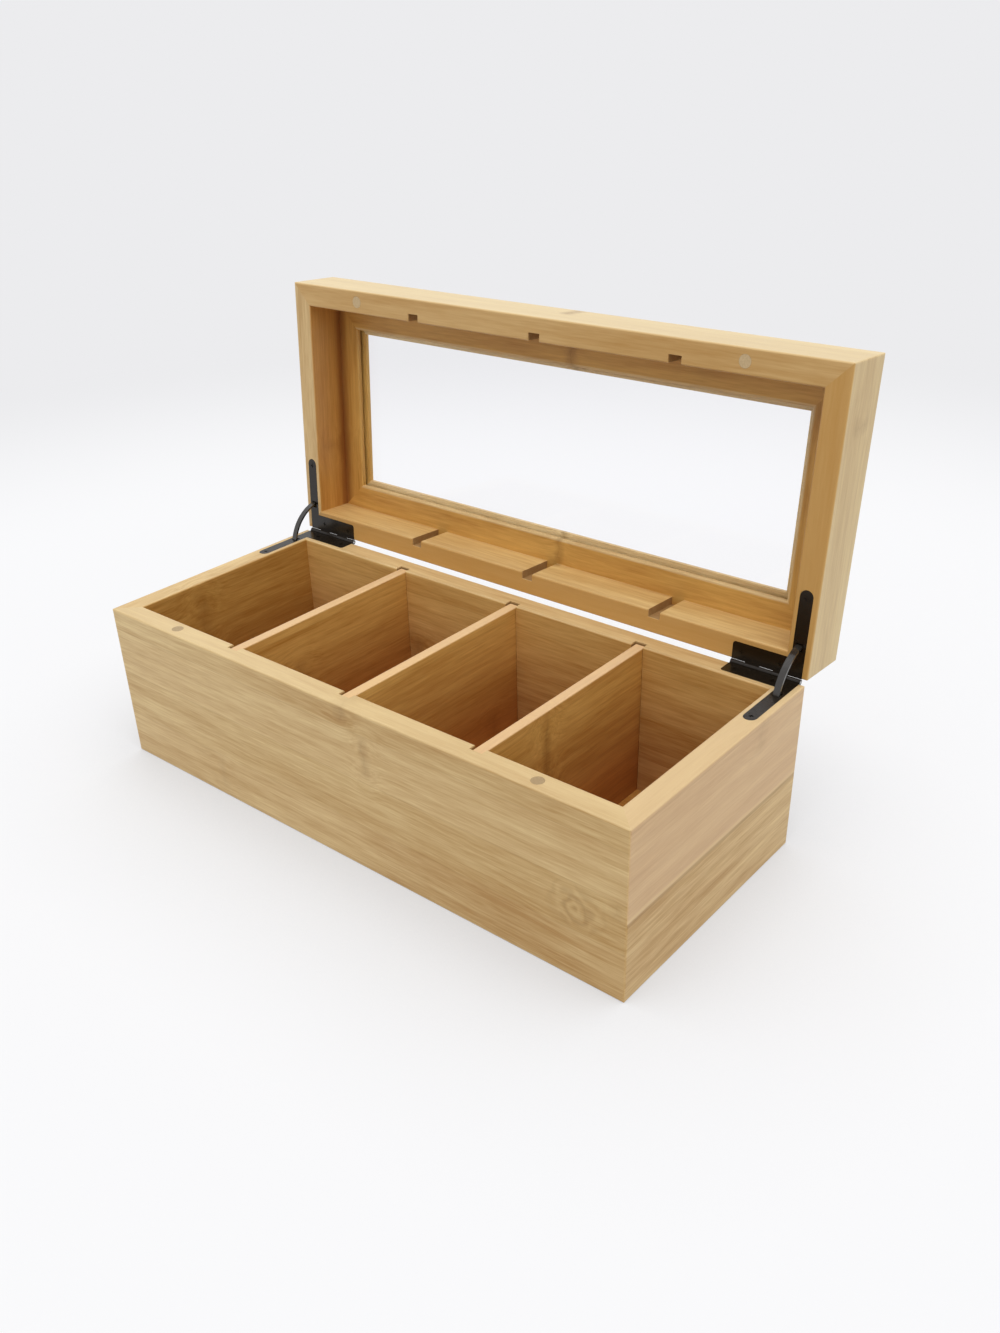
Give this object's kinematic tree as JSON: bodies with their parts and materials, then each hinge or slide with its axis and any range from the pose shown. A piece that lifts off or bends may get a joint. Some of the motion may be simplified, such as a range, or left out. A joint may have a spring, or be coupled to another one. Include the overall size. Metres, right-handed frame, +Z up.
{
  "type": "tea bag organizer box",
  "caption": "Long bamboo box with lift-out dividers and a windowed lid on black L-shaped hinges with curved stay arms and magnetic catches.",
  "frame": {"origin": "middle of the base's underside", "axes": "+X right along the length, +Y to the back where the hinges are, +Z up; the lid is open at rest"},
  "size_m": [0.312, 0.1706, 0.2172],
  "materials": {
    "bamboo_board": "satin clear lacquer on laminated bamboo",
    "bamboo_floor": "satin clear lacquer on a bamboo panel",
    "bamboo_divider": "sanded bamboo, thin clear lacquer",
    "bamboo_rail": "satin clear lacquer on bamboo rails",
    "nickel_magnet": "dull nickel plate",
    "black_leaf": "semi-gloss black electro-coat on stamped steel",
    "black_arm": "semi-gloss black electro-coat",
    "black_screw": "black oxide",
    "steel_pin": "plain drawn wire",
    "clear_pane": "polished clear acrylic"
  },
  "bodies": {
    "base": {"base_front_wall": "bamboo_board", "base_back_wall": "bamboo_board", "base_left_wall": "bamboo_board", "base_right_wall": "bamboo_board", "base_floor": "bamboo_floor", "base_magnets": "nickel_magnet", "left_lower_leaf": "black_leaf", "right_lower_leaf": "black_leaf", "left_hinge_pin": "steel_pin", "right_hinge_pin": "steel_pin", "left_lower_screws": "black_screw", "right_lower_screws": "black_screw"},
    "lid": {"lid_front_wall": "bamboo_board", "lid_back_wall": "bamboo_board", "lid_left_wall": "bamboo_board", "lid_right_wall": "bamboo_board", "lid_front_rail": "bamboo_rail", "lid_back_rail": "bamboo_rail", "lid_left_rail": "bamboo_rail", "lid_right_rail": "bamboo_rail", "window_pane": "clear_pane", "lid_magnets": "nickel_magnet", "left_upper_leaf": "black_leaf", "right_upper_leaf": "black_leaf", "left_upper_screws": "black_screw", "right_upper_screws": "black_screw"},
    "left_stay_arm": {"left_stay_arm": "black_arm"},
    "right_stay_arm": {"right_stay_arm": "black_arm"},
    "divider_left": {"divider_left": "bamboo_divider"},
    "divider_middle": {"divider_middle": "bamboo_divider"},
    "divider_right": {"divider_right": "bamboo_divider"}
  },
  "joints": [
    {"name": "lid_hinge", "type": "hinge", "parent": "base", "child": "lid", "pos_m": [0, 0.06785, 0.08315], "axis": [-1, 0, 0], "range_deg": [-93.5, 0]},
    {"name": "left_arm_swing", "type": "hinge", "parent": "base", "child": "left_stay_arm", "pos_m": [-0.1502, 0.06785, 0.08315], "axis": [-1, 0, 0], "range_deg": [-46.75, 0]},
    {"name": "right_arm_swing", "type": "hinge", "parent": "base", "child": "right_stay_arm", "pos_m": [0.1502, 0.06785, 0.08315], "axis": [-1, 0, 0], "range_deg": [-46.75, 0]},
    {"name": "left_divider_lift", "type": "slide", "parent": "base", "child": "divider_left", "axis": [0, 0, 1], "range_m": [0, 0.021]},
    {"name": "middle_divider_lift", "type": "slide", "parent": "base", "child": "divider_middle", "axis": [0, 0, 1], "range_m": [0, 0.021]},
    {"name": "right_divider_lift", "type": "slide", "parent": "base", "child": "divider_right", "axis": [0, 0, 1], "range_m": [0, 0.021]}
  ],
  "couplings": [
    {"joint": "left_arm_swing", "follows": "lid_hinge", "ratio": 0.5},
    {"joint": "right_arm_swing", "follows": "lid_hinge", "ratio": 0.5}
  ]
}
